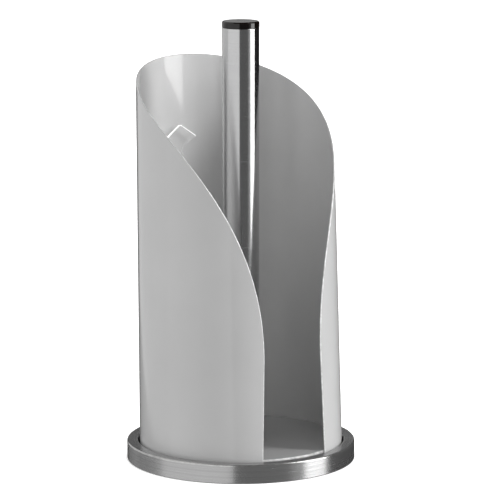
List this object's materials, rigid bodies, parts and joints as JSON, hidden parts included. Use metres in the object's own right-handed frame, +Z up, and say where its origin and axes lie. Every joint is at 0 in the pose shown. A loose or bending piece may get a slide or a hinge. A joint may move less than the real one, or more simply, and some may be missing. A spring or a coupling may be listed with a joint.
{
  "type": "paper towel holder",
  "caption": "Upright holder for a roll of paper towels: a painted sleeve with a sweeping cut edge and a front slot, round a steel pole on a weighted stainless base.",
  "frame": {"origin": "centre of the base, on the table that the rubber feet stand on", "axes": "+Z up along the pole; -Y towards the viewer's side of the base; the sleeve's open slot faces between +X and -Y"},
  "size_m": [0.156, 0.156, 0.3],
  "materials": {
    "stainless": "brushed stainless steel, satin, fine grain",
    "paint": "glossy light silver-grey paint on sheet steel",
    "iron": "rough cast weight with a thin dark coat",
    "plate": "moulded black plastic, fine texture",
    "rubber": "matt black rubber",
    "cap": "satin dark brown-black plastic",
    "zinc": "zinc-plated steel",
    "clear": "clear polished plastic",
    "tape": "clear mounting tape"
  },
  "bodies": {
    "holder": {"base_ring": "stainless", "ballast_disc": "iron", "bottom_plate": "plate", "bottom_screw_1": "zinc", "bottom_screw_2": "zinc", "bottom_screw_3": "zinc", "foot_pad_1": "rubber", "foot_pad_2": "rubber", "foot_pad_3": "rubber", "foot_pad_4": "rubber", "floor_disc": "paint", "sleeve": "paint", "pole_tube": "stainless", "pole_cap": "cap", "pole_insert": "zinc", "flat_washer": "zinc", "spring_washer": "zinc", "pole_bolt": "zinc", "brake_tape": "tape", "brake_foot": "clear"},
    "brake": {"brake_leaf": "clear"}
  },
  "joints": [
    {"name": "brake_flex", "type": "hinge", "parent": "holder", "child": "brake", "pos_m": [-0.04316, 0.04925, 0.172], "axis": [-0.7738, -0.6333, -0.0139], "range_deg": [0, 4.5], "stiffness_Nm_per_rad": 0.6}
  ]
}
